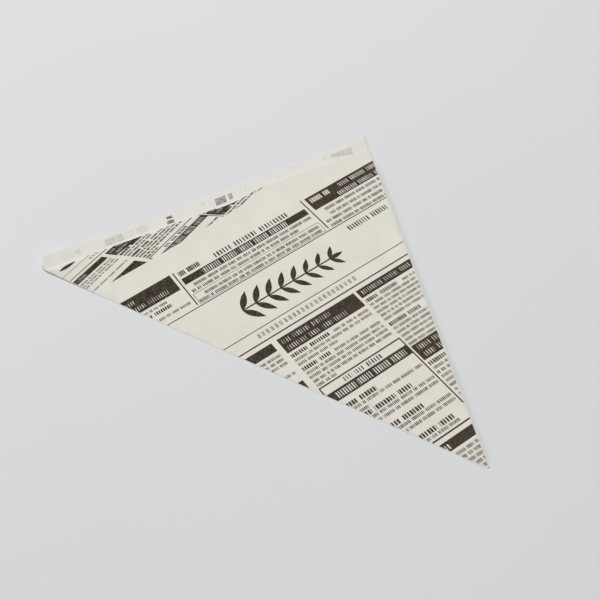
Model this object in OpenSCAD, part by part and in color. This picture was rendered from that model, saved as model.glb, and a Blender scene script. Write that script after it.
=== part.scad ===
// Pointed paper bag, the cone that chips and nuts are served in, lying flat.
//
// One rectangular sheet is folded once, corner to corner. The fold runs from the tip to the cut end
// of the lip. The front ply's flap turns round the glued side and is stuck to the back ply, so the
// only opening is the mouth. The back ply stands past the front ply there, as a lip for the thumb.
//
// Frame: the glued side runs along Y, the mouth along X. Z is up and the bag lies on Z = 0.
// The origin is the middle of the bag's footprint.
//
// Every straight line of a paper cone runs through its tip. So each ply is its own mouth edge drawn
// in towards the tip, and the whole bag is one loop round the pocket, lofted from the tip outwards.

/* [Bag] */
// Width of the sheet across the mouth, from the glued side to the cut end of the lip
mouth_w = 205; // [130:1:320]
// Length of the glued side, from the tip to the mouth edge of the back ply
side_l = 210; // [120:1:320]
// Thickness of the paper
paper_t = 0.1; // [0.06:0.01:0.4]

/* [Mouth] */
// How far the lip stands past the front ply at the fold
lip_fold = 8; // [3:0.5:20]
// How far the lip stands past the front ply at the glued side
lip_side = 8; // [3:0.5:20]
// Height of the swell in the front ply's cut edge
swell = 2.6; // [0:0.1:3]
// Distance from the glued side to the top of that swell
swell_at = 66; // [60:1:100]
// Length of the swell's slope towards the glued side
swell_near = 60; // [20:1:60]
// Length of the swell's slope towards the fold
swell_far = 24; // [10:1:30]
// How far the lip's cut edge is drawn in half way along the mouth
lip_bow = 1; // [0:0.1:3]
// How far the two plies stand apart in the middle of the mouth
mouth_gap = 2.6; // [0.3:0.1:3.5]

/* [Glued side] */
// Width of the flap that is turned over and stuck to the back ply
flap_w = 12; // [5:0.5:25]
// How far the flap stops short of the front ply's mouth edge
flap_short = 3; // [1:0.5:12]
// How far inside the lip's corner the crease of the glued side lies
side_in = 1; // [0:0.1:3]

/* [Curl] */
// How high the corner at the end of the fold curls up
corner_lift = 3; // [0:0.1:8]
// How far in from that corner the curl starts
corner_l = 55; // [20:1:100]
// How far the curl draws that corner in along the mouth
corner_in = 1.4; // [0:0.1:3]
// How far the lip's cut end is rounded out between its corners
end_bow = 1.6; // [0:0.1:3]

/* [Hidden] */

// Strips across each ply, from the glued side to the fold
strips = 32;
// Rings of the loft between the pocket's end and the end of the flap, and from there to the flare
rings = 24;
mouth_rings = 3;
// Where the loft starts and where the pocket starts, as shares of the way from tip to mouth
tip_start = 0.006;
pocket_start = 0.03;
// Gap that a pressed crease keeps inside it, and how far the pocket's corners stand back from it
crease_gap = 0.5 * paper_t;
crease_in = 2 * paper_t;
// Length over which the back ply comes down to the table beside the flap
ramp_l = 8;
// How far down from the mouth the lip's bow fades out, and how far in from its cut end that end's does
bow_fade = 60;
end_fade = 20;
// Power of the distance from the tip by which the glued side is drawn in
side_ease = 0.35;
// Length over which that side runs out again to the lip's corner
flare_l = min(lip_side, 8);
// Most of a ring that the flap and the ramp may each take where the bag narrows to its tip
flap_share = 0.5;
ramp_share = 0.25;
// Strips spent on the flap, its cut edge, the ramp beside it and the lip's cut end
flap_strips = 2;
ramp_strips = 2;
end_strips = 4;
plain_strips = strips - flap_strips - 1 - ramp_strips - end_strips;

fold_h = side_l - lip_fold;
fold_dir = [mouth_w, fold_h] / norm([mouth_w, fold_h]);
// Away from the bag, square to the fold
fold_out = [fold_dir.y, -fold_dir.x];
// Shares of the way from tip to mouth at which the flap ends, its cut edge is past and the flare starts
flap_end = 1 - (lip_side + flap_short) / side_l;
flap_past = flap_end + paper_t / side_l;
flare_at = 1 - flare_l / side_l;

function smooth(s) = let (c = min(1, max(0, s))) c * c * (3 - 2 * c);

// --- Plan: p runs from the glued side towards the fold, q from the tip towards the mouth

// The front ply's mouth edge, at share u of the way from the glued side to the fold
function front_edge(u) =
    let (straight = side_l - lip_side + u * (lip_side - lip_fold),
         past = u * mouth_w - swell_at,
         down = min(1, abs(past) / (past < 0 ? swell_near : swell_far)))
    [u * mouth_w, straight + swell * (1 + cos(180 * down)) / 2];

// Width of the flap, of the ramp and of the flap's cut edge in the ring at share v
function flap_at(v) = min(flap_w, flap_share * v * mouth_w);
function ramp_at(v) = min(ramp_l, ramp_share * v * mouth_w);
function cut_at(v) = min(paper_t, ramp_at(v) / 2);

// p of strip line k of the back ply in the ring at share v, as far as the lip's corner
function back_p(k, v) =
    let (flap = flap_at(v), ramp = ramp_at(v), cut = cut_at(v), past = k - flap_strips - 1)
    k <= flap_strips ? flap * k / flap_strips
    : past <= ramp_strips ? flap + cut + (ramp - cut) * past / ramp_strips
    : let (share = (past - ramp_strips) / plain_strips)
      flap + ramp + (v * mouth_w - flap - ramp) * share;

// Strip line k of the back ply in the ring at share v, with the lip's cut end as its last strips
function back_plan(k, v) =
    let (down = max(0, k - strips + end_strips) / end_strips)
    down > 0 ? [v * mouth_w, v * (side_l - down * lip_fold)] : [back_p(k, v), v * side_l];

function front_plan(k, v) = v * front_edge(k / strips);

// Share of the curl at a place: 1 at the corner at the end of the fold, and 0 where the sheet lies flat
function curled(pq) = pow(max(0, 1 - norm(pq - [mouth_w, side_l]) / corner_l), 2);

// Moves the straight outline to the edges of a bag that has been handled
function drawn_in(pq) =
    let (across = min(1, pq.x / (pq.y * mouth_w / fold_h)),
         flare = min(1, (side_l - pq.y) / flare_l),
         side = side_in * pow(pq.y / side_l, side_ease) * flare * (1 - across),
         edge = lip_bow * sin(180 * min(1, pq.x / mouth_w)) * smooth(1 - (side_l - pq.y) / bow_fade),
         up = min(1, max(0, pq.y - fold_h) / lip_fold),
         end = end_bow * sin(180 * up) * smooth(1 - (mouth_w - pq.x) / end_fade))
    [pq.x + side + end - corner_in * curled(pq), pq.y - edge];

// --- Heights

function curl(pq) = corner_lift * curled(pq);

// Underside of the back ply, which rides over the flap
function back_under(pq, v) =
    curl(pq) + paper_t * (1 - smooth((pq.x - flap_at(v)) / ramp_at(v)));

// Height of the pocket at share u of the way from the glued side to the fold
function pocket(u, v) = crease_gap + v * mouth_gap * 4 * u * (1 - u);

// Underside of the front ply
function front_under(pq, v) = back_under(pq, v) + paper_t + pocket(pq.x / (v * mouth_w), v);

// Half way up a crease, between the two plies
function mid_height(pq, v) = back_under(pq, v) + paper_t + crease_gap / 2;

// --- Rings: the back ply from side to fold, the fold, the front ply back to the side, the side

// How far along the mouth the rounded cut end of the lip reaches
end_reach = max([for (k = [strips - end_strips:strips]) drawn_in(back_plan(k, 1)).x]);

function placed(pq, z) =
    let (d = drawn_in(pq)) [end_reach / 2 - d.x, d.y - (1 + tip_start) * side_l / 2, z];

function outer_ring(v) =
    let (fold = front_plan(strips, v), side = front_plan(0, v))
    concat(
        [for (k = [0:strips])
            let (pq = back_plan(k, v), flap = k <= flap_strips && v <= flap_end)
            placed(pq, flap ? curl(pq) : back_under(pq, v))],
        [placed(fold + paper_t * fold_out, mid_height(fold, v))],
        [for (k = [strips:-1:0])
            let (pq = front_plan(k, v))
            placed(pq, front_under(pq, v) + paper_t)],
        [placed(side - [paper_t, 0], mid_height(side, v))]
    );

function inner_ring(v) =
    let (fold = front_plan(strips, v), side = front_plan(0, v))
    concat(
        [for (k = [0:strips])
            let (pq = inside(back_plan(k, v), v))
            placed(pq, back_under(pq, v) + paper_t)],
        [placed(fold, mid_height(fold, v))],
        [for (k = [strips:-1:0])
            let (pq = inside(front_plan(k, v), v))
            placed(pq, front_under(pq, v))],
        [placed(side, mid_height(side, v))]
    );

// The pocket's strip lines are drawn in evenly, so that its corners stand back from both creases
function inside(pq, v) =
    let (share = pq.x / (v * mouth_w))
    pq + crease_in * ((1 - share) * [1, 0] - share * fold_out);

// --- Loft

around = 2 * strips + 4;

// Two triangles over four corners given anticlockwise as seen from outside. A polyhedron's faces run
// clockwise, so each triangle is turned over.
function quad(a, b, c, d) = [[a, c, b], [a, d, c]];
function joined(lists) = [for (list = lists) each list];

// Skin from ring to ring, the first ring starting at point `at`. The last strip, down the glued side, is
// split along its other diagonal, so that the flare is one triangle from the crease's end to the corner.
function skin(at, count) = joined([for (r = [0:count - 2], i = [0:around - 1])
    let (a = at + r * around + i, b = at + r * around + (i + 1) % around)
    i == around - 1 ? quad(b, b + around, a + around, a) : quad(a, b, b + around, a + around)]);

// Share of the way to the fold at which strip line k of the back ply lies in the ring at share v
function back_share(k, v) = min(1, back_p(k, v) / (v * mouth_w));

// Lid over the ring at share v, zipped across from strip line k of the back ply and n of the front ply.
// Each triangle takes the next line of whichever ply is behind, so that none reaches far along the ring.
function lid(at, v, k = 0, n = 0) =
    let (top = at + 2 * strips + 2)
    k == strips && n == strips ? [[at + strips, at + strips + 1, at + strips + 2], [top, top + 1, at]]
    : n == strips || (k < strips && back_share(k + 1, v) <= (n + 1) / strips)
      ? concat([[at + k, at + k + 1, top - n]], lid(at, v, k + 1, n))
      : concat([[at + k, top - n - 1, top - n]], lid(at, v, k, n + 1));

function flipped(faces) = [for (f = faces) [f[2], f[1], f[0]]];

module cone() {
    // No ring lies inside the flare, because its straight side would cut across the flare's bend
    shares = concat(
        [for (r = [0:rings]) pocket_start + (flap_end - pocket_start) * r / rings],
        [for (r = [0:mouth_rings]) flap_past + (flare_at - flap_past) * r / mouth_rings],
        [1]
    );
    outer = joined([for (v = concat([tip_start], shares)) outer_ring(v)]);
    inner = joined([for (v = shares) inner_ring(v)]);
    outer_rings = len(shares) + 1;
    inner_at = len(outer);
    rim = outer_rings - 1;
    rim_faces = joined([for (i = [0:around - 1])
        let (o = rim * around, n = inner_at + (rim - 1) * around, j = (i + 1) % around)
        quad(o + i, o + j, n + j, n + i)]);
    color("wheat")
        polyhedron(
            concat(outer, inner),
            concat(skin(0, outer_rings), flipped(skin(inner_at, len(shares))),
                   lid(0, tip_start), flipped(lid(inner_at, pocket_start)), rim_faces),
            convexity = 4
        );
}

cone();
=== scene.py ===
import math
import random

import bmesh
import bpy
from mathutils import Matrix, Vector
from mathutils.geometry import delaunay_2d_cdt


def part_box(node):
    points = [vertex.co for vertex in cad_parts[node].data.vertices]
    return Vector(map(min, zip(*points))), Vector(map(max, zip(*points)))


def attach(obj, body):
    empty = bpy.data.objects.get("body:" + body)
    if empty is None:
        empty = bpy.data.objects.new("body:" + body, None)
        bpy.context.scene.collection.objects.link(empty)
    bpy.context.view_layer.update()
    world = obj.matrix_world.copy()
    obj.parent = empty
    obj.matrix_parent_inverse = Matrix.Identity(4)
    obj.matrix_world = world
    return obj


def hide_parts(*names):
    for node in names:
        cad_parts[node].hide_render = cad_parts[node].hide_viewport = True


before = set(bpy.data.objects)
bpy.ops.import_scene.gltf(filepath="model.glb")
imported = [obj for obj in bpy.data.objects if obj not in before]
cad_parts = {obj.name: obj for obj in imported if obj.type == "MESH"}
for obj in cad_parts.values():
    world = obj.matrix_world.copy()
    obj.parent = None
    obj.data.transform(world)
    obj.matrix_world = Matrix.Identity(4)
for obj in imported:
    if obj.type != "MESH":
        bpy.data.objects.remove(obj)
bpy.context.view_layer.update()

# A flat pointed paper bag lying on a table, in the frame's own coordinates. Sizes are in millimetres
# of the bag as drawn, and MM turns them into metres by the size of the frame's box.
#
# Places on a ply are written (p, q) on its straight outline: p runs from the glued side towards the
# fold, q from the tip towards the mouth. placed() bends that outline to the bag's real edges.

LOW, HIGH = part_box("cone")
DRAWN_LENGTH = 209.0
MM = (HIGH[1] - LOW[1]) / DRAWN_LENGTH

# --- The bag, in the part's own sizes

MOUTH_W = 205.0
SIDE_L = 210.0
PAPER = 0.1
LIP = 8.0
FOLD_H = SIDE_L - LIP
SWELL, SWELL_AT, SWELL_NEAR, SWELL_FAR = 2.6, 66.0, 60.0, 24.0
LIP_BOW, BOW_FADE = 1.0, 60.0
SIDE_IN, SIDE_EASE = 1.0, 0.35
END_BOW, END_FADE = 1.6, 20.0
MOUTH_GAP = 2.6
CREASE_GAP = 0.05
CREASE_IN = 0.2
FLAP_W, FLAP_SHORT, RAMP = 12.0, 3.0, 8.0
FLAP_SHARE, RAMP_SHARE = 0.5, 0.25
CORNER_LIFT, CORNER_IN, CORNER_L = 3.0, 1.4, 55.0
TIP, POCKET = 0.006, 0.03
# q of the tip's outermost point
TIP_Q = 1.14
# Share of the way to the mouth at which the flap ends
FLAP_END = (FOLD_H - FLAP_SHORT) / FOLD_H
# Height of the slow waves of a sheet that has been handled, and their lengths along p and q
WAVE, WAVE_P, WAVE_Q = 0.45, (19, 47), (31, 23)
# How far the glued side springs up from the table, and over what width. Then the q at which that
# starts, is full, starts to fade and ends
SIDE_UP, SIDE_UP_W = 0.9, 18.0
UP_FROM, UP_FULL, UP_FADES, UP_ENDS = 2, 12, 186, 198

# Points along each edge, and the spacing of the points between the edges
LONG_STEPS, MOUTH_STEPS, SHORT_STEPS = 120, 90, 8
OUTER_STEP, INNER_STEP = 3.0, 4.5
# Those keep this share of a step from the edges
EDGE_CLEAR = 0.4
# An even share of the way to the mouth that is nearer than this to a set one is left out
LEVEL_GAP = 0.003
# Points of a surface nearer than this are one
MERGE = 1e-4
# Turns of the points round a crease, in degrees up from its middle
CREASE_TURNS = (45, 0, -45)
# Print keeps this far from folds and cut edges, where the ink has cracked or was trimmed away
BARE_EDGE = 0.22

fold_dir = Vector((MOUTH_W, FOLD_H)).normalized()
fold_out = Vector((fold_dir.y, -fold_dir.x))


def smooth(s):
    s = min(1.0, max(0.0, s))
    return s * s * (3 - 2 * s)


def across(p, q):
    """Share of the way from the glued side to the fold."""
    return min(1.0, max(0.0, p / (q * MOUTH_W / FOLD_H)))


def swell(p, q):
    """How far the front ply's cut edge stands out where the line through (p, q) meets it."""
    past = across(p, q) * MOUTH_W - SWELL_AT
    down = min(1.0, abs(past) / (SWELL_NEAR if past < 0 else SWELL_FAR))
    return SWELL * (1 + math.cos(math.pi * down)) / 2


def curled(p, q):
    """Share of the curl: 1 at the corner at the end of the fold, and 0 where the sheet lies flat."""
    return max(0.0, 1 - math.hypot(p - MOUTH_W, q - SIDE_L) / CORNER_L) ** 2


def drawn_in(p, q):
    """Moves the straight outline to the edges of a bag that has been handled."""
    flare = min(1.0, (SIDE_L - q) / LIP)
    side = SIDE_IN * max(0.0, q / SIDE_L) ** SIDE_EASE * flare * (1 - across(p, q))
    bow = math.sin(math.pi * min(1, max(0, p / MOUTH_W)))
    edge = LIP_BOW * bow * smooth(1 - (SIDE_L - q) / BOW_FADE)
    up = min(1.0, max(0.0, q - FOLD_H) / LIP)
    end = END_BOW * math.sin(math.pi * up) * smooth(1 - (MOUTH_W - p) / END_FADE)
    return p + side + end - CORNER_IN * curled(p, q), q - edge


def flap_at(q):
    """Width of the flap, which narrows to the tip."""
    return min(FLAP_W, FLAP_SHARE * q / FOLD_H * MOUTH_W)


def springs_up(p, q):
    """How far the glued side springs up. It lies flat again at the tip and at the mouth."""
    ends = smooth((q - UP_FROM) / (UP_FULL - UP_FROM)) * smooth((UP_ENDS - q) / (UP_ENDS - UP_FADES))
    return SIDE_UP * ends * max(0.0, 1 - max(0.0, p) / SIDE_UP_W) ** 2


def curl(p, q):
    """Height of the sheet's underside over the table."""
    return CORNER_LIFT * curled(p, q) + springs_up(p, q)


def back_under(p, q):
    """Underside of the back ply, which rides over the flap."""
    ramp = min(RAMP, RAMP_SHARE * q / FOLD_H * MOUTH_W)
    return curl(p, q) + PAPER * (1 - smooth((p - flap_at(q)) / ramp))


def pocket(p, q):
    """Height of the pocket, with slow waves."""
    u, v = across(p, q), min(1.0, q / FOLD_H)
    open_here = 4 * u * (1 - u) * v
    wave = (math.sin(p / WAVE_P[0] + q / WAVE_Q[0])
            * math.sin(q / WAVE_Q[1] - p / WAVE_P[1] + 1))
    return CREASE_GAP + open_here * (MOUTH_GAP - WAVE + WAVE * wave)


def inside(p, q):
    """The pocket's skins stand back a little from both creases."""
    u = across(p, q)
    return p + CREASE_IN * (1 - u - u * fold_out.x), q - CREASE_IN * u * fold_out.y


def placed(p, q, z):
    """The point at (p, q) and height z, in the frame's metres."""
    p, q = drawn_in(p, q)
    x = HIGH[0] - p * MM
    y = LOW[1] + (q - TIP_Q) * MM
    return Vector((x, y, LOW[2] + z * MM))


def front_out(p, q):
    return placed(p, q * (1 + swell(p, q) / FOLD_H), back_under(p, q) + 2 * PAPER + pocket(p, q))


def front_in(p, q):
    a, b = inside(p, q)
    return placed(a, b * (1 + swell(p, q) / FOLD_H), back_under(p, q) + PAPER + pocket(p, q))


def back_out(p, q):
    return placed(p, q, back_under(p, q))


def back_in(p, q):
    a, b = inside(p, q)
    return placed(a, b, back_under(p, q) + PAPER)


def flap_out(p, q):
    return placed(p, q, curl(p, q))


# --- The printed page: x runs along the rows and y down the columns, in millimetres of the page

# Kinds of face: bare and printed paper outside, then the pocket, print seen through the lip, and edges,
# which also paint the cut edge's highlight
PLAIN, INK, TEXT, REVERSED = "paper", "ink", "text", "reversed"
INSIDE, FAINT, EDGE = "inside", "faint", "edge"
# A small line's height, the pitch of its letters, and its weight: how much of their pitch the strokes
# fill. Then the same for the lines above the masthead, and the weights of headings
BODY_H, BODY_PITCH, BODY_WEIGHT = 1.7, 1.0, 0.58
TOP_H, TOP_WEIGHT = 2.1, 0.62
BOLD, LIGHT = 0.66, 0.44
# How much of their pitch bare strokes fill in a dark block
REVERSED_BOLD, REVERSED_LIGHT = 0.42, 0.22
# Pitch of the strokes as a share of the letters', in the small lines and in headings
BODY_STROKE, HEAD_STROKE = 0.9, 0.8
# Pitch of the letters of labels and bare headings
HEAD_PITCH = 1.8
# Gap between words and most letters in one, counted in letters
WORD_GAP, LONGEST = 0.9, 9
# Each line's strokes are counted from another place, so that no two lines are uneven alike
LINE_SHIFT = 60
# Spacing of the marks of the widely spaced line
SPACED = 3
# From line to line, and the width of a rule
LEADING, RULE = 2.85, 0.7
# Long edges get points this far apart, because the ply is bent under them
EDGE_STEP = 4.0
# Print of less than this many square millimetres is left out
SMALLEST = 0.02
# Text of the second printing that is heavier has its weight multiplied by this
HEAVIER = {TEXT: 1.4, REVERSED: 0.7}


class Shape:
    """A printed polygon. along is where its strokes start and their pitch. value is the strokes'
    weight, or how dark a faint mark is."""

    def __init__(self, kind, points, along=None, value=0.0):
        self.kind, self.points, self.along, self.value = kind, points, along, value


class Page:
    """What is printed on the page. It has no lettering: a line of text is a bar for each word, which
    its material fills with upright strokes, all of one height."""

    def __init__(self, seed):
        self.shapes = []
        self.rng = random.Random(seed)
        self.lines = 0

    def block(self, x0, y0, x1, y1, kind=INK, along=None, value=0.0):
        self.shapes.append(Shape(kind, [(x0, y0), (x1, y0), (x1, y1), (x0, y1)], along, value))

    def rule(self, x0, y0, x1, y1, width=RULE):
        """A straight rule, level or upright."""
        w = width / 2
        self.block(x0 - w * (x0 == x1), y0 - w * (y0 == y1), x1 + w * (x0 == x1), y1 + w * (y0 == y1))

    def words(self, x0, x1, pitch, shortest):
        """Ends of the words of a line from x0 to x1, with even gaps."""
        lengths = []
        gap = WORD_GAP * pitch
        while sum(lengths) + gap * len(lengths) < x1 - x0:
            lengths.append(self.rng.randint(shortest, LONGEST) * pitch)
        room = x1 - x0 - gap * (len(lengths) - 1)
        stretch = room / sum(lengths)
        x = x0
        for length in lengths:
            yield x, x + length * stretch
            x += length * stretch + gap

    def line(self, x0, x1, foot, high=BODY_H, pitch=BODY_PITCH, weight=BODY_WEIGHT, kind=TEXT):
        """A line of text that stands on foot."""
        self.lines += 1
        start = x0 - LINE_SHIFT * self.lines
        body = pitch == BODY_PITCH
        stroke = pitch * (BODY_STROKE if body else HEAD_STROKE)
        for a, b in self.words(x0, x1, pitch, 2 if body else 4):
            self.block(a, foot - high, b, foot, kind, (start, stroke), weight)

    def label(self, x0, x1, foot, high=2.3, weight=BOLD):
        self.line(x0, x1, foot, high, HEAD_PITCH, weight)

    def reversed(self, x0, x1, foot, high=2.7, weight=REVERSED_LIGHT):
        """Bare strokes in a dark block."""
        self.line(x0, x1, foot, high, HEAD_PITCH, weight, REVERSED)

    def advert(self, x0, x1, y, groups, strip=5.6):
        """A column advert: a dark strip with a bare heading, then groups of a label and lines."""
        self.block(x0, y, x1, y + strip)
        self.reversed(x0 + 2, x1 - 16, y + 4.1)
        if strip > 8:
            self.reversed(x0 + 2, x1 - 18, y + 8.7)
        y += strip + 3.8
        for count in groups:
            self.label(x0 + 0.4, x0 + 22, y)
            self.line(x0 + 26, x1, y)
            for k in range(1, count):
                last = self.rng.uniform(10, 36) if k == count - 1 else 0
                self.line(x0 + 0.3, x1 - last, y + LEADING * k)
            y += LEADING * count + 1.3


def laurel(page, x0, x1, y, big, small):
    """A laurel spray along y, with leaves that shrink towards x1. It stands in the masthead's place."""
    page.rule(x0, y, x1 - small / 2, y, 0.9)
    pairs = 8
    for k in range(pairs):
        share = k / (pairs - 1)
        root = x0 + (x1 - small - x0) * share
        long = big + (small - big) * share
        for side in (-1, 1):
            leaf(page, root, y, long, side * math.radians(50))
            if k < pairs - 1:
                berry(page, root + 5.2, y + side * long * 0.56, 0.9)
    leaf(page, x1 - small, y, small, 0)


def leaf(page, x, y, long, turn):
    """A pointed leaf from (x, y), drawn from two bows."""
    steps, wide = 7, long * 0.15
    spine = [k / steps for k in range(steps + 1)]
    bow = [(s * long, wide * math.sin(math.pi * s ** 0.85)) for s in spine]
    outline = bow + [(a, -b) for a, b in bow[-2:0:-1]]
    c, s = math.cos(turn), math.sin(turn)
    page.shapes.append(Shape(INK, [(x + a * c - b * s, y + a * s + b * c) for a, b in outline]))


def berry(page, x, y, r):
    """A round spot, as a polygon of ten sides."""
    turns = [math.tau * k / 10 for k in range(10)]
    page.shapes.append(Shape(INK, [(x + r * math.cos(t), y + r * math.sin(t)) for t in turns]))


def upper_adverts(page):
    """The strip of adverts above the masthead."""
    page.rule(-230, -36, 95, -36, 0.6)
    for x in (-137, -43.4, 50.6):
        page.rule(x, -64.5, x, -37.5, 0.8)
    upper_left(page)
    upper_middle(page)
    upper_right(page)


def upper_left(page):
    """A dark panel with two bare lines, and small notes under it."""
    page.block(-134, -64.5, -45.6, -52)
    page.reversed(-120, -72, -59)
    page.reversed(-120, -52, -53.7, 2.9)
    for foot, left, right in ((-48.6, -125, -57), (-40.4, -125, -46)):
        page.line(left, right, foot)
    page.label(-110, -55.5, -45)


def upper_middle(page):
    """A label and a light heading over a dark strip, notes, and a boxed note."""
    page.line(-41, -26.5, -59.7, 3.6, 1.6, 0.75)
    page.line(-16, 37.7, -59.1, 3.6, 2.6, LIGHT)
    page.block(-41.5, -58, 48.5, -53)
    page.reversed(-27.5, 33, -53.5, 3.7, REVERSED_BOLD)
    for left, right, foot in ((-37.3, 47.6, -49.4), (-41, 35.8, -45.9),
                              (-35.5, 47, -41.1), (-41, 46.5, -37.8)):
        page.line(left, right, foot, TOP_H, weight=TOP_WEIGHT)
    for y in (-44.8, -37.2):
        page.rule(-41.5, y, 48.3, y, 0.3)
    for x in (-41.6, 48.3):
        page.rule(x, -44.8, x, -37.2, 0.3)


def upper_right(page):
    """A dark panel with a label and two bare lines, and notes under it."""
    page.block(53.3, -64, 118, -53)
    page.reversed(55, 70, -58.8, 3.5, 0.6)
    page.reversed(77.3, 110, -59.3, 3.1, 0.36)
    page.reversed(73, 110, -53.8, 3.1, 0.36)
    for left, foot in ((58, -49.2), (58.8, -45), (53, -41), (53, -37.1)):
        page.line(left, 112, foot, TOP_H, weight=TOP_WEIGHT)


def masthead(page):
    """The open band across the page: a laurel between two long rules, and a widely spaced line."""
    page.line(59.3, 88.7, -28.8, 3.6, 2.2, 0.5)
    laurel(page, -25, 46, -19.6, 13.5, 9.5)
    page.rule(-230, -5, 120, -5, 0.5)
    for k in range(23):
        x = SPACED * k
        page.block(-28.3 + x, -2.6, -26.6 + x, 0.4, TEXT, (-LINE_SHIFT * k, 0.85), 0.5)
    page.rule(-230, 3.1, 120, 3.1, 0.8)


def columns(page):
    """The columns of adverts under the masthead."""
    for x in (-240, -185, -130):
        page.advert(x, x + 51, 6.1, (4, 5, 6, 4, 5, 4), strip=10)
    left_column(page)
    middle_column(page)
    boxed_list(page)
    page.advert(33.3, 86, 6.1, (6, 6))
    page.advert(33.3, 86, 48.8, (9, 6), strip=10)


def left_column(page):
    """Two dark panels with bare lines, and the notes under each."""
    page.block(-76, 6.1, -24.7, 11.7)
    page.reversed(-74, -44, 10.3)
    for foot in (15.4, 18.2, 21, 28):
        page.line(-76, -25, foot)
    page.block(-76, 32.8, -24.7, 43)
    page.reversed(-74, -40, 37.2)
    page.reversed(-74, -46, 41.6)
    for k in range(14):
        page.line(-76, -25, 47 + LEADING * k)


def middle_column(page):
    """A panel with two bare lines, and two labelled notes."""
    page.block(-21.3, 6.1, 31.6, 16.2)
    page.reversed(-19.4, 13.3, 10.4)
    page.reversed(-19.4, 20.5, 15)
    page.label(-20.9, 4.3, 19.9)
    page.label(-20.9, -2.4, 29.3)
    for left, right, foot in ((7, 31, 19.8), (-20.9, 31, 22.7), (-20.9, 5, 25.6), (0, 31, 29.2),
                              (-20.9, 31, 32.1), (-20.9, 31, 34.9), (-20.9, 31, 37.8),
                              (-20.9, -8.3, 40.5)):
        page.line(left, right, foot)


def boxed_list(page):
    """The outlined list of posts in the middle column, and what stands under it."""
    page.rule(-21.3, 41.7, 32.3, 41.7, 0.8)
    page.rule(-21, 41.7, -21, 94, 0.8)
    page.rule(32, 41.7, 32, 86.3, 0.8)
    page.line(-7.6, 17.7, 45.6, 2.6, 2.1, LIGHT)
    page.block(-21, 46.5, 32, 52.2)
    page.reversed(-16.3, 29.1, 51.2, 3.5, REVERSED_BOLD)
    for foot, end, notes in ((58, 3, (30.6, -6.6)), (66.5, 18.2, (30.5, 30.5)),
                             (77.9, 15, (30.5, 30.5)), (89.9, 23, (24.4,))):
        page.line(-15.5, end, foot, 2.6, 2.1, BOLD)
        for k, stop in enumerate(notes):
            page.line(-16, stop, foot + 2.4 + LEADING * k)
    page.rule(-21, 93.8, 32, 93.8, 0.8)
    page.block(-21, 96.4, 32, 101.4)
    page.reversed(-14, 11, 100.4, 2.6, REVERSED_BOLD)
    for k in range(8):
        page.line(-21, 31, 104.7 + 2.6 * k)


def printed_page():
    page = Page(seed=7)
    upper_adverts(page)
    masthead(page)
    columns(page)
    return page


def second_page():
    """The page as it is printed the second time. It also has a leaf, a thick rule and a dark panel that
    widens towards the mouth, and its text under that panel and to the right is heavier."""
    page = printed_page()
    leaf(page, -46, -13, 14, math.radians(12))
    page.block(33.3, 58.8, 86, 60.3)
    page.shapes.append(Shape(INK, [(-21.3, 15.9), (14, 16), (4.8, 20.1)]))
    for shape in page.shapes:
        x, y = shape.points[0]
        if x >= -21.3 and y >= 16.2:
            shape.value *= HEAVIER.get(shape.kind, 1.0)
    return page


class Setting:
    """How the page lies on the sheet: its origin, the lie and length of a page millimetre along a row
    and down a column, and how fast those widen along each."""

    def __init__(self, at, row, column, widen):
        self.at = Vector(at)
        self.row, self.column = (Vector((math.cos(math.radians(t)), math.sin(math.radians(t)))) * n
                                 for t, n in (row, column))
        self.widen = widen

    def on_sheet(self, x, y):
        return self.at + (self.row * x + self.column * y) / (1 + self.widen[0] * x + self.widen[1] * y)

    def on_page(self, place):
        d = place - self.at
        a, b = self.row - self.widen[0] * d, self.column - self.widen[1] * d
        det = a.x * b.y - b.x * a.y
        return (d.x * b.y - b.x * d.y) / det, (a.x * d.y - d.x * a.y) / det


# The page is printed twice, and the second printing is cut off along the first one's top edge, which
# has one bend. Lengths are in millimetres of the bag for a millimetre of the page.
FIRST = Setting((30, 20), (10.8, 1), (-68, 1), (0.00052, -0.00143))
SECOND = Setting((-55.4, 100.5), (21.1, 0.69), (-25.4, 0.68), (0.00126, -0.00154))
PAGE_TOP = ((-90.0, -80.4), (-35.4, -80.8), (41.7, -87.3))


def bent(p, q):
    """Where (p, q) of the front ply lies on the sheet, seen from above."""
    p, q = drawn_in(p, q * (1 + swell(p, q) / FOLD_H))
    return Vector((MOUTH_W / 2 - p, q - (1 + TIP) * SIDE_L / 2))


def straight(place):
    """(p, q) of a place on the sheet: the inverse of bent()."""
    target = Vector((MOUTH_W / 2 - place.x, place.y + (1 + TIP) * SIDE_L / 2))
    p, q = target.x, max(1.0, target.y)
    for _ in range(6):
        off = place - bent(p, q)
        p, q = p - off.x, max(1.0, q + off.y)
    return p, q


def with_points(points):
    """The same polygon with points along its long edges."""
    out = []
    for (x0, y0), (x1, y1) in zip(points, points[1:] + points[:1]):
        count = math.ceil(math.hypot(x1 - x0, y1 - y0) / EDGE_STEP)
        out += [(x0 + (x1 - x0) * k / count, y0 + (y1 - y0) * k / count) for k in range(count)]
    return out


def keep(points, a, b, c):
    """The part of a polygon where a * x + b * y <= c."""
    out = []
    for (x0, y0), (x1, y1) in zip(points, points[1:] + points[:1]):
        d0, d1 = a * x0 + b * y0 - c, a * x1 + b * y1 - c
        if d0 <= 0:
            out.append((x0, y0))
        if (d0 < 0 < d1) or (d1 < 0 < d0):
            t = d0 / (d0 - d1)
            out.append((x0 + (x1 - x0) * t, y0 + (y1 - y0) * t))
    return out


def area(points):
    """Area of a polygon, negative if it runs clockwise."""
    return sum(a[0] * b[1] - b[0] * a[1] for a, b in zip(points, points[1:] + points[:1])) / 2


def anticlockwise(points):
    return points if area(points) > 0 else points[::-1]


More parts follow.
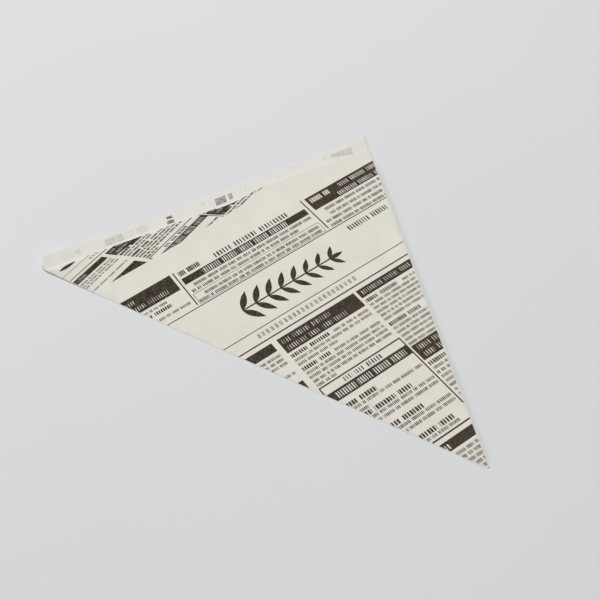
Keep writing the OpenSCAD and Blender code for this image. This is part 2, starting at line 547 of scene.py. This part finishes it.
class Print:
    """One printed polygon on a ply. turn mirrors a place on the ply to the front ply's."""

    def __init__(self, shape, setting=None, turn=None):
        self.shape, self.setting, self.turn = shape, setting, turn

    def uv(self, p, q):
        """Strokes along the line of text at (p, q), and the shape's value."""
        if not self.shape.along:
            return 0.0, self.shape.value
        x, _ = self.setting.on_page(bent(*self.turn(p, q)))
        start, pitch = self.shape.along
        return (x - start) / pitch, self.shape.value


def over_fold(p, q):
    """Mirrors a place in the fold, as the sheet was before it was folded."""
    along = p * fold_dir.x + q * fold_dir.y
    return 2 * along * fold_dir.x - p, 2 * along * fold_dir.y - q


def prints_on(turn, sides):
    """The page's shapes on one ply. turn mirrors the front's places onto it, and sides bound them."""
    found = []
    for setting, page, cuts in ((FIRST, PAGE, ()), (SECOND, SECOND_PAGE, TOP_CUTS)):
        for shape in page.shapes:
            points = [straight(setting.on_sheet(x, y)) for x, y in with_points(shape.points)]
            for cut in cuts:
                points = keep(points, *cut)
            points = [turn(p, q) for p, q in points]
            for side in sides:
                points = keep(points, *side)
            if len(points) > 2 and abs(area(points)) > SMALLEST:
                found.append((anticlockwise(points), Print(shape, setting, turn)))
    return found


def line_through(p0, p1, inner):
    """(a, b, c) with a * x + b * y <= c on the side of inner."""
    a, b = p1[1] - p0[1], p0[0] - p1[0]
    n = math.hypot(a, b)
    a, b = a / n, b / n
    c = a * p0[0] + b * p0[1]
    return (a, b, c) if a * inner[0] + b * inner[1] <= c else (-a, -b, -c)


PAGE, SECOND_PAGE = printed_page(), second_page()
TOP_PLACES = [straight(FIRST.on_sheet(x, y)) for x, y in PAGE_TOP]
TOP_CUTS = [line_through(a, b, (MOUTH_W, SIDE_L)) for a, b in zip(TOP_PLACES, TOP_PLACES[1:])]
UNDER_FOLD = (fold_out.x, fold_out.y, -BARE_EDGE)

# Print on the outside of the back ply that shows through the lip: ends along the mouth from the glued
# side, depths below the lip's edge at its head and foot, and how dark it is
LIP_BLOCKS = (
    (159.5, 165.9, 2.8, 6.9, 0.26), (154.3, 159.0, 2.8, 6.9, 0.22), (147.1, 153.4, 2.5, 7.0, 0.08),
    (139.0, 146.2, 2.8, 7.0, 0.10), (123.1, 126.8, 2.8, 4.3, 0.85), (122.8, 127.3, 5.2, 7.2, 0.85),
    (102.1, 104.9, 2.8, 3.5, 0.20), (89.6, 96.2, 2.8, 6.9, 0.62), (85.4, 87.8, 2.8, 6.2, 0.55),
    (25.9, 27.5, 3.1, 4.4, 0.15))
# Thin lines: places along the mouth, then their head, foot, width, lean and how dark they are
LIP_LINES = (191.2, 189.1, 187.0, 108.1, 99.6, 79.6, 76.5, 7.5, 5.2, 2.9)
LINE_HEAD, LINE_FOOT, LINE_W, LINE_LEAN, LINE_DARK = 2.4, 7.0, 0.5, 0.3, 0.13
# Blocks with a slanting foot: each end with its foot's depth, and how dark. Then the depth of the head
LIP_WEDGES = ((9.6, 7.5, 22.7, 4.5, 0.24), (181.5, 7.1, 186.0, 4.2, 0.14))
WEDGE_HEAD = 2.8
# Where a painted highlight runs along the front ply's cut edge, from the glued side, and how wide
PAINTED_HIGHLIGHT, PAINTED_HIGHLIGHT_W = (48.0, 97.0), 0.5
# The flap has no print where it narrows, up to this q
FLAP_PRINT_FROM = 27


def lip_marks():
    """The marks on the inner face of the lip."""
    shapes = []
    for near, far, head, foot, dark in LIP_BLOCKS:
        shapes.append(([(near, head), (far, head), (far, foot), (near, foot)], dark))
    for at in LIP_LINES:
        foot = at + LINE_LEAN
        shapes.append(([(at, LINE_HEAD), (at + LINE_W, LINE_HEAD), (foot + LINE_W, LINE_FOOT),
                        (foot, LINE_FOOT)], LINE_DARK))
    for near, near_foot, far, far_foot, dark in LIP_WEDGES:
        shapes.append(([(near, WEDGE_HEAD), (far, WEDGE_HEAD),
                        (far, far_foot), (near, near_foot)], dark))
    found = []
    for points, dark in shapes:
        points = anticlockwise([(p, SIDE_L - depth) for p, depth in points])
        found.append((points, Print(Shape(FAINT, points, value=dark))))
    return found


def painted_edge_highlight():
    """A painted highlight: the pale line along the middle of the front ply's cut edge, where it catches
    the light.
    """
    high = FOLD_H - BARE_EDGE
    low = high - PAINTED_HIGHLIGHT_W
    points = with_points([(PAINTED_HIGHLIGHT[0], low), (PAINTED_HIGHLIGHT[1], low), (PAINTED_HIGHLIGHT[1], high), (PAINTED_HIGHLIGHT[0], high)])
    return [(points, Print(Shape(EDGE, points)))]


def front_prints():
    """What is printed on the front ply, short of its edges."""
    return prints_on(lambda p, q: (p, q), [(-1, 0, -BARE_EDGE), (0, -1, -FOLD_H * TIP - BARE_EDGE),
                                           (0, 1, FOLD_H - BARE_EDGE), UNDER_FOLD])


def back_prints():
    """The print goes on round the fold."""
    return prints_on(over_fold, [(-1, 0, -FLAP_W - BARE_EDGE), (0, 1, SIDE_L - BARE_EDGE),
                                 (1, 0, MOUTH_W - BARE_EDGE), UNDER_FOLD])


def flap_prints():
    """The print goes on round the glued side."""
    return prints_on(lambda p, q: (-p, q), [(-1, 0, -BARE_EDGE), (1, 0, FLAP_W - BARE_EDGE),
                                            (0, -1, -FLAP_PRINT_FROM),
                                            (0, 1, FOLD_H - FLAP_SHORT - BARE_EDGE)])


# --- The sheet


class Shell:
    """Collects the sheet's surfaces and the strips that join them."""

    def __init__(self):
        self.points, self.faces, self.kinds, self.uvs = [], [], [], []

    def add(self, place):
        """Adds a vertex, and returns its number."""
        self.points.append(place)
        return len(self.points) - 1

    def face(self, corners, kind, uvs=None):
        """Adds a face, unless its corners fall together."""
        corners = [c for k, c in enumerate(corners) if c != corners[k - 1]]
        if len(set(corners)) > 2:
            self.faces.append(corners)
            self.kinds.append(kind)
            self.uvs.append(uvs or [(0.0, 0.0)] * len(corners))

    def strip(self, a, b, kind):
        """Joins two rows of as many vertices."""
        for k in range(len(a) - 1):
            self.face([a[k], a[k + 1], b[k + 1], b[k]], kind)

    def surface(self, outline, step, place, prints, kind):
        """Fills an outline with triangles and lays them at place(p, q). Returns the vertex of each
        outline point."""
        verts = [Vector(pt) for pt in outline]
        faces = [list(range(len(outline)))]
        if area(outline) < 0:
            faces[0].reverse()
        for points, _ in prints:
            faces.append(list(range(len(verts), len(verts) + len(points))))
            verts += [Vector(pt) for pt in points]
        verts += [Vector(pt) for pt in filling(outline, step)]
        made, _, triangles, sources, _, owners = delaunay_2d_cdt(verts, [], faces, 1, MERGE)
        at, vertices, edge = [], [], {}
        for pt, came in zip(made, sources):
            mine = [outline[c] for c in came if c < len(outline)]
            at.append(mine[0] if mine else tuple(pt))
            vertices.append(self.add(place(*at[-1])))
            edge.update((corner, vertices[-1]) for corner in mine)
        for triangle, owner in zip(triangles, owners):
            if 0 not in owner:
                continue
            corners = [vertices[c] for c in triangle]
            # the last print laid over a place is the one that shows
            top = max(owner)
            if top == 0:
                self.face(corners, kind)
            else:
                mark = prints[top - 1][1]
                self.face(corners, mark.shape.kind, [mark.uv(*at[c]) for c in triangle])
        return edge


def filling(outline, step):
    """A staggered grid of points inside the outline."""
    left, low = (min(pt[k] for pt in outline) for k in (0, 1))
    right, high = (max(pt[k] for pt in outline) for k in (0, 1))
    for i in range(1, int((right - left) / step) + 1):
        for j in range(1, int((high - low) / step) + 1):
            pt = (left + i * step, low + (j + 0.5 * (i % 2)) * step)
            if well_inside(pt, outline, step * EDGE_CLEAR):
                yield pt


def well_inside(pt, outline, margin):
    """True if pt lies in the outline and at least margin from its edges."""
    x, y = pt
    odd = False
    for (x0, y0), (x1, y1) in zip(outline, outline[1:] + outline[:1]):
        dx, dy = x1 - x0, y1 - y0
        t = min(1.0, max(0.0, ((x - x0) * dx + (y - y0) * dy) / (dx * dx + dy * dy)))
        if math.hypot(x - x0 - t * dx, y - y0 - t * dy) < margin:
            return False
        if (y0 > y) != (y1 > y) and x < x0 + (y - y0) / dy * dx:
            odd = not odd
    return odd


def between(a, b, steps):
    """Points from a to b, without b."""
    return [(a[0] + (b[0] - a[0]) * k / steps, a[1] + (b[1] - a[1]) * k / steps) for k in range(steps)]


def levels():
    """Shares of the way to the mouth at which the folds have points."""
    even = [TIP + (1 - TIP) * k / LONG_STEPS for k in range(LONG_STEPS + 1)]
    kept = [v for v in even if abs(v - FLAP_END) > LEVEL_GAP and abs(v - POCKET) > LEVEL_GAP]
    return sorted(kept + [FLAP_END, POCKET])


def at_each(vertex, line):
    """The vertices of a surface along a line."""
    return [vertex[pt] for pt in line]


class Sheet(Shell):
    """The bag's one sheet of paper. Its surfaces share the points of the lines that __init__ draws."""

    def __init__(self):
        super().__init__()
        shares = levels()
        self.side = [(0.0, FOLD_H * v) for v in shares]
        self.fold = [(MOUTH_W * v, FOLD_H * v) for v in shares]
        self.mouth = between((0.0, FOLD_H), (MOUTH_W, FOLD_H), MOUTH_STEPS)[1:]
        self.lip = (between((0.0, FOLD_H), (0.0, SIDE_L), SHORT_STEPS)[1:]
                    + between((0.0, SIDE_L), (MOUTH_W, SIDE_L), MOUTH_STEPS)
                    + between((MOUTH_W, SIDE_L), (MOUTH_W, FOLD_H), SHORT_STEPS))
        # the flap's cut edge, the glued side beside the flap and past it, and the flap's end
        self.cut = [(flap_at(q), q) for _, q in self.side if q <= FOLD_H * FLAP_END]
        last = len(self.cut) - 1
        self.beside, self.past = self.side[:last + 1], self.side[last:]
        self.end = between(self.cut[-1], self.beside[-1], SHORT_STEPS)[1:]
        # the glued side and the fold along the pocket
        start = shares.index(POCKET)
        self.deep_side, self.deep_fold = self.side[start:], self.fold[start:]

    def lay_outside(self):
        """The front ply, the back ply and the flap, from outside."""
        line = self.side[:1] + self.fold + self.mouth[::-1] + self.side[:0:-1]
        # The front ply carries its print and the painted highlight along its cut edge
        self.front = self.surface(line, OUTER_STEP, front_out, front_prints() + painted_edge_highlight(), PLAIN)
        line = self.cut + self.end + self.past + self.lip + self.fold[::-1]
        self.back = self.surface(line, OUTER_STEP, back_out, back_prints(), PLAIN)
        line = self.beside + self.end[::-1] + self.cut[::-1]
        self.flap = self.surface(line, OUTER_STEP, flap_out, flap_prints(), PLAIN)

    def lay_inside(self):
        """The two plies' inner faces: the pocket's, and the lip's."""
        line = self.deep_side[:1] + self.deep_fold + self.mouth[::-1] + self.deep_side[:0:-1]
        self.inner_front = self.surface(line, INNER_STEP, front_in, [], INSIDE)
        line = self.deep_side + self.lip + self.deep_fold[::-1]
        self.inner_back = self.surface(line, INNER_STEP, back_in, lip_marks(), INSIDE)

    def round_fold(self):
        """The fold: half round, from the front ply's edge to the back ply's."""
        self.fold_rows = [[self.add(crease(pt, turn, fold_out, back_under(*pt))) for pt in self.fold]
                          for turn in CREASE_TURNS]
        rows = [at_each(self.front, self.fold)] + self.fold_rows + [at_each(self.back, self.fold)]
        for a, b in zip(rows, rows[1:]):
            self.strip(a, b, EDGE)

    def round_side(self):
        """The glued side: the same round, down to the flap, or to the back ply past the flap's end."""
        out = Vector((-1.0, 0.0))
        self.side_rows = [[self.add(crease(pt, turn, out, curl(*pt))) for pt in self.side]
                          for turn in CREASE_TURNS]
        rows = [at_each(self.front, self.side)] + self.side_rows
        for a, b in zip(rows, rows[1:]):
            self.strip(a, b, EDGE)
        lowest = self.side_rows[-1]
        last = len(self.beside) - 1
        self.strip(lowest[:last + 1], at_each(self.flap, self.beside), EDGE)
        self.strip(lowest[last:], at_each(self.back, self.past), EDGE)
        corner = self.past[0]
        self.face([lowest[last], self.flap[corner], self.back[corner]], EDGE)

    def close_flap(self):
        """The flap's cut edge and its end."""
        line = self.cut + self.end + self.past[:1]
        self.strip(at_each(self.flap, line), at_each(self.back, line), EDGE)

    def join_inside(self, line):
        """A crease inside the pocket, between the plies' inner faces."""
        row = [self.add(inner_crease(pt)) for pt in line]
        self.strip(at_each(self.inner_back, line), row, INSIDE)
        self.strip(row, at_each(self.inner_front, line), INSIDE)
        return row

    def close_pocket(self):
        """The creases inside the pocket, and its wall towards the tip."""
        self.inner_side = self.join_inside(self.deep_side)
        self.inner_fold = self.join_inside(self.deep_fold)
        a, b = self.deep_side[0], self.deep_fold[0]
        self.face([self.inner_back[a], self.inner_side[0], self.inner_front[a],
                   self.inner_front[b], self.inner_fold[0], self.inner_back[b]], INSIDE)

    def close_tip(self):
        """One face over the tip."""
        a, b, flap = self.side[0], self.fold[0], self.cut[0]
        down = [self.front[a]] + [row[0] for row in self.side_rows]
        under = [self.flap[a], self.flap[flap], self.back[flap], self.back[b]]
        up = [row[0] for row in self.fold_rows[::-1]] + [self.front[b]]
        self.face(down + under + up, EDGE)

    def close_crease(self, corner, rows, inner):
        """The end of a crease at the mouth."""
        outer = [self.back[corner]] + [row[-1] for row in rows[::-1]] + [self.front[corner]]
        self.face(outer + [self.inner_front[corner], inner[-1], self.inner_back[corner]], EDGE)

    def close_mouth(self):
        """The rim at the mouth."""
        a, b = self.side[-1], self.fold[-1]
        line = [a] + self.lip + [b]
        self.strip(at_each(self.back, line), at_each(self.inner_back, line), EDGE)
        line = [a] + self.mouth + [b]
        self.strip(at_each(self.front, line), at_each(self.inner_front, line), EDGE)
        self.close_crease(b, self.fold_rows, self.inner_fold)
        self.close_crease(a, self.side_rows, self.inner_side)


def build_sheet():
    sheet = Sheet()
    sheet.lay_outside()
    sheet.lay_inside()
    sheet.round_fold()
    sheet.round_side()
    sheet.close_flap()
    sheet.close_pocket()
    sheet.close_tip()
    sheet.close_mouth()
    return sheet


def crease(pt, turn, out, low):
    """A point on a half-round crease: turn runs from 90 at the top to -90 underneath."""
    p, q = pt
    top = back_under(p, q) + 2 * PAPER + CREASE_GAP
    r = (top - low) / 2
    t = math.radians(turn)
    reach = r * math.cos(t)
    q_out = q * (1 + swell(p, q) / FOLD_H * (turn > 0))
    return placed(p + out.x * reach, q_out + out.y * reach, (top + low) / 2 + r * math.sin(t))


def inner_crease(pt):
    """A point half way up a crease, inside the pocket."""
    p, q = pt
    a, b = inside(p, q)
    out = (a + p) / 2, (b + q) / 2
    return placed(*out, back_under(p, q) + PAPER + CREASE_GAP / 2)


# --- Materials

PAPER_COLOUR = (0.752, 0.728, 0.652, 1)
INSIDE_COLOUR = (0.745, 0.730, 0.678, 1)
# Bare paper of folds and cut edges, made lighter. It is also the painted highlight along the front
# ply's cut edge
EDGE_AND_HIGHLIGHT_COLOUR = (0.800, 0.785, 0.730, 1)
INK_COLOUR = (0.029, 0.021, 0.014, 1)
# Where along X, in metres, the ink starts and ends to thin out, and by how much at the end
THINNER = (-0.05, 0.1, 0.0, 0.4)
# Thin uncoated paper and its print shine little
SHINE = 0.25
# How much wider or narrower a stroke may be, as a share of the pitch
STROKE_UNEVEN = 0.12
TABLE_COLOUR = (0.690, 0.694, 0.712, 1)
# Past the table's far edge, which only low views show
BACKDROP_COLOUR = (0.600, 0.604, 0.620, 1)


class Nodes:
    """Short calls to build a material's nodes."""

    def __init__(self, name):
        self.material = bpy.data.materials.new(name)
        self.material.use_nodes = True
        self.tree = self.material.node_tree
        self.shader = self.tree.nodes["Principled BSDF"]
        where = self.tree.nodes.new("ShaderNodeTexCoord")
        self.where = where.outputs["Object"]

    def feed(self, value, socket):
        """Links a socket to another, or sets it to a number or colour."""
        if isinstance(value, bpy.types.NodeSocket):
            self.tree.links.new(value, socket)
        elif value is not None:
            socket.default_value = value

    def noise(self, scale, detail=2.0, rough=0.5):
        node = self.tree.nodes.new("ShaderNodeTexNoise")
        self.feed(self.where, node.inputs["Vector"])
        node.inputs["Scale"].default_value = scale
        node.inputs["Detail"].default_value = detail
        node.inputs["Roughness"].default_value = rough
        return node.outputs["Fac"]

    def spread(self, value, low, high, to_low=0.0, to_high=1.0):
        """Maps low..high to to_low..to_high, and no further."""
        node = self.tree.nodes.new("ShaderNodeMapRange")
        for name, number in (("From Min", low), ("From Max", high),
                             ("To Min", to_low), ("To Max", to_high)):
            node.inputs[name].default_value = number
        self.feed(value, node.inputs["Value"])
        return node.outputs["Result"]

    def math(self, kind, a, b=None):
        node = self.tree.nodes.new("ShaderNodeMath")
        node.operation = kind
        self.feed(a, node.inputs[0])
        self.feed(b, node.inputs[1])
        return node.outputs[0]

    def mix(self, share, a, b):
        node = self.tree.nodes.new("ShaderNodeMix")
        node.data_type = "RGBA"
        self.feed(share, node.inputs["Factor"])
        self.feed(a, node.inputs["A"])
        self.feed(b, node.inputs["B"])
        return node.outputs["Result"]

    def across(self, start, end, at_start, at_end):
        """Runs from at_start to at_end along the object's X."""
        split = self.tree.nodes.new("ShaderNodeSeparateXYZ")
        self.feed(self.where, split.inputs[0])
        return self.spread(split.outputs["X"], start, end, at_start, at_end)

    def bump(self, height, distance, strength):
        node = self.tree.nodes.new("ShaderNodeBump")
        node.inputs["Distance"].default_value = distance
        node.inputs["Strength"].default_value = strength
        self.feed(height, node.inputs["Height"])
        self.tree.links.new(node.outputs["Normal"], self.shader.inputs["Normal"])


def scaled(colour, by):
    return (colour[0] * by, colour[1] * by, colour[2] * by, 1)


def paper_tone(nodes, colour):
    """Thin food paper: a cloudy formation, fine fibres and a few darker specks."""
    cloud = nodes.spread(nodes.noise(90, 4, 0.6), 0.3, 0.7)
    tone = nodes.mix(cloud, scaled(colour, 0.955), scaled(colour, 1.03))
    fibre = nodes.spread(nodes.noise(1500, 2), 0.35, 0.65)
    tone = nodes.mix(nodes.math("MULTIPLY", fibre, 0.35), tone, scaled(colour, 0.93))
    speck = nodes.spread(nodes.noise(900, 1), 0.73, 0.78)
    return nodes.mix(nodes.math("MULTIPLY", speck, 0.45), tone, scaled(colour, 0.6))


def paper_grain(nodes):
    """The sheet's shine and fine relief, printed or not."""
    nodes.shader.inputs["Specular IOR Level"].default_value = SHINE
    nodes.feed(nodes.spread(nodes.noise(300, 3), 0.3, 0.7, 0.74, 0.9), nodes.shader.inputs["Roughness"])
    fine = nodes.noise(900, 3, 0.6)
    grain = nodes.math("ADD", fine, nodes.math("MULTIPLY", nodes.noise(120, 2), 0.8))
    nodes.bump(grain, 0.00006, 0.5)


def ink_tone(nodes):
    """Newspaper ink on cheap paper: brownish black, thin in places and speckled where it took badly."""
    thin = nodes.spread(nodes.noise(160, 3, 0.6), 0.35, 0.7)
    tone = nodes.mix(thin, scaled(INK_COLOUR, 0.7), scaled(INK_COLOUR, 1.3))
    grain = nodes.spread(nodes.noise(700, 2, 0.7), 0.45, 0.7)
    tone = nodes.mix(grain, tone, scaled(INK_COLOUR, 3.4))
    tone = nodes.mix(nodes.across(*THINNER), tone, scaled(INK_COLOUR, 2.2))
    worn = nodes.spread(nodes.noise(1900, 2, 0.6), 0.62, 0.72)
    return nodes.mix(nodes.math("MULTIPLY", worn, 0.2), tone, scaled(PAPER_COLOUR, 0.4))


def print_value(nodes):
    """The two numbers that each printed face carries."""
    uv = nodes.tree.nodes.new("ShaderNodeUVMap")
    uv.uv_map = "print"
    split = nodes.tree.nodes.new("ShaderNodeSeparateXYZ")
    nodes.feed(uv.outputs["UV"], split.inputs[0])
    return split.outputs["X"], split.outputs["Y"]


def stroke_mask(nodes):
    """1 on the upright strokes of a line of text, which are of slightly uneven width."""
    along, weight = print_value(nodes)
    chance = nodes.tree.nodes.new("ShaderNodeTexWhiteNoise")
    chance.noise_dimensions = "1D"
    nodes.feed(nodes.math("FLOOR", along), chance.inputs["W"])
    uneven = nodes.spread(chance.outputs["Value"], 0, 1, -STROKE_UNEVEN, STROKE_UNEVEN)
    return nodes.math("LESS_THAN", nodes.math("FRACT", along), nodes.math("ADD", weight, uneven))


def on_paper(nodes, tone):
    """The finished material, with this colour and the paper's grain."""
    nodes.feed(tone, nodes.shader.inputs["Base Color"])
    paper_grain(nodes)
    return nodes.material


def outside_tone(nodes):
    return paper_tone(nodes, PAPER_COLOUR)


def paper_material(name, colour):
    nodes = Nodes(name)
    return on_paper(nodes, paper_tone(nodes, colour))


def ink_material():
    nodes = Nodes("printed_ink")
    return on_paper(nodes, ink_tone(nodes))


def text_material(name, ground, strokes):
    nodes = Nodes(name)
    return on_paper(nodes, nodes.mix(stroke_mask(nodes), ground(nodes), strokes(nodes)))


def faint_material():
    """Print that shows through the lip, broken up by the paper."""
    nodes = Nodes("print_through")
    _, dark = print_value(nodes)
    broken = nodes.spread(nodes.noise(600, 3, 0.6), 0.35, 0.65, 0.6, 1.25)
    share = nodes.math("MULTIPLY", dark, broken)
    return on_paper(nodes, nodes.mix(share, paper_tone(nodes, INSIDE_COLOUR), INK_COLOUR))


# What makes the material of each kind of face
MAKERS = {
    PLAIN: lambda: paper_material("paper_outside", PAPER_COLOUR),
    INK: ink_material,
    TEXT: lambda: text_material("printed_text", outside_tone, ink_tone),
    REVERSED: lambda: text_material("reversed_text", ink_tone, outside_tone),
    INSIDE: lambda: paper_material("paper_inside", INSIDE_COLOUR),
    FAINT: faint_material,
    EDGE: lambda: paper_material("paper_edge_and_highlight", EDGE_AND_HIGHLIGHT_COLOUR),
}
# Folds and cut edges that turn more than this many degrees are sharp
SHARP = 50


def bag_mesh(sheet):
    """The sheet's mesh, with a material for each kind of face and what its print needs to know."""
    mesh = bpy.data.meshes.new("paper_cone")
    mesh.from_pydata(sheet.points, [], sheet.faces)
    for make in MAKERS.values():
        mesh.materials.append(make())
    slots = {kind: k for k, kind in enumerate(MAKERS)}
    marks = mesh.uv_layers.new(name="print")
    for face, kind, places in zip(mesh.polygons, sheet.kinds, sheet.uvs):
        face.material_index = slots[kind]
        face.use_smooth = True
        for loop, place in zip(face.loop_indices, places):
            marks.data[loop].uv = place
    return mesh


def turn_outwards(mesh):
    """Splits the few faces of many corners, and turns every face outwards."""
    work = bmesh.new()
    work.from_mesh(mesh)
    bmesh.ops.triangulate(work, faces=[f for f in work.faces if len(f.verts) > 4])
    bmesh.ops.recalc_face_normals(work, faces=work.faces)
    work.to_mesh(mesh)
    work.free()


def make_bag():
    mesh = bag_mesh(build_sheet())
    turn_outwards(mesh)
    mesh.set_sharp_from_angle(angle=math.radians(SHARP))
    bag = bpy.data.objects.new("paper_cone", mesh)
    bpy.context.collection.objects.link(bag)
    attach(bag, "root")
    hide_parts("cone")


# --- Table, light and camera

# The camera hangs straight above this place and sees this width of the table, both in millimetres.
# It is turned by this angle, and hangs at this height in metres
VIEW_AT = (32.6, 27.4)
VIEW_WIDTH = 353.7
VIEW_TURN = math.radians(-20.54)
VIEW_HEIGHT = 1.0
# How far the table reaches from its middle, and how far under the bag it lies, in metres
TABLE_REACH, TABLE_GAP = 3.0, 0.00005
# Each light's name, place, size and power. Places are metres to the right, up the view and above the
# table. The key hangs high past the top of the view, and a weak low light stands to the left.
LIGHTS = (("key", (-0.5, 2.3, 4.4), 2.5, 198.0),
          ("side_light", (-3.6, 0.9, 1.6), 2.0, 58.0))
SKY = 0.17


def beyond(right, up, height):
    """A place above the table, measured from its middle along the view's own right and up."""
    c, s = math.cos(VIEW_TURN), math.sin(VIEW_TURN)
    return Vector((right * c - up * s, right * s + up * c, height))


def make_table():
    mesh = bpy.data.meshes.new("table")
    r, z = TABLE_REACH, LOW[2] - TABLE_GAP
    mesh.from_pydata([(-r, -r, z), (r, -r, z), (r, r, z), (-r, r, z)], [], [(0, 1, 2, 3)])
    nodes = Nodes("table")
    cloud = nodes.spread(nodes.noise(3, 3), 0.3, 0.7)
    nodes.feed(nodes.mix(cloud, scaled(TABLE_COLOUR, 0.985), scaled(TABLE_COLOUR, 1.01)),
               nodes.shader.inputs["Base Color"])
    nodes.shader.inputs["Roughness"].default_value = 0.6
    mesh.materials.append(nodes.material)
    table = bpy.data.objects.new("table", mesh)
    bpy.context.collection.objects.link(table)


def area_light(name, at, size, power):
    """A round light that faces the frame's origin."""
    data = bpy.data.lights.new(name, "AREA")
    data.shape = "DISK"
    data.size = size
    data.energy = power
    lamp = bpy.data.objects.new(name, data)
    lamp.location = at
    lamp.rotation_euler = (-at).to_track_quat("-Z", "Y").to_euler()
    bpy.context.collection.objects.link(lamp)


def make_sky():
    """An even dim light all round, with a pale backdrop that only the camera sees."""
    world = bpy.data.worlds.new("studio")
    world.use_nodes = True
    tree = world.node_tree
    sky = tree.nodes["Background"]
    sky.inputs["Color"].default_value = (1, 1, 1, 1)
    sky.inputs["Strength"].default_value = SKY
    backdrop = tree.nodes.new("ShaderNodeBackground")
    backdrop.inputs["Color"].default_value = BACKDROP_COLOUR
    path = tree.nodes.new("ShaderNodeLightPath")
    both = tree.nodes.new("ShaderNodeMixShader")
    tree.links.new(path.outputs["Is Camera Ray"], both.inputs[0])
    tree.links.new(sky.outputs[0], both.inputs[1])
    tree.links.new(backdrop.outputs[0], both.inputs[2])
    tree.links.new(both.outputs[0], tree.nodes["World Output"].inputs["Surface"])
    bpy.context.scene.world = world


def make_camera():
    data = bpy.data.cameras.new("camera")
    data.type = "PERSP"
    data.angle = 2 * math.atan(VIEW_WIDTH * MM / 2 / VIEW_HEIGHT)
    camera = bpy.data.objects.new("camera", data)
    camera.location = (VIEW_AT[0] * MM, VIEW_AT[1] * MM, VIEW_HEIGHT)
    camera.rotation_euler = (0, 0, VIEW_TURN)
    bpy.context.collection.objects.link(camera)
    bpy.context.scene.camera = camera


make_bag()
make_table()
make_sky()
for light, where, size, power in LIGHTS:
    area_light(light, beyond(*where), size, power)
make_camera()
bpy.context.scene.view_settings.view_transform = "Standard"
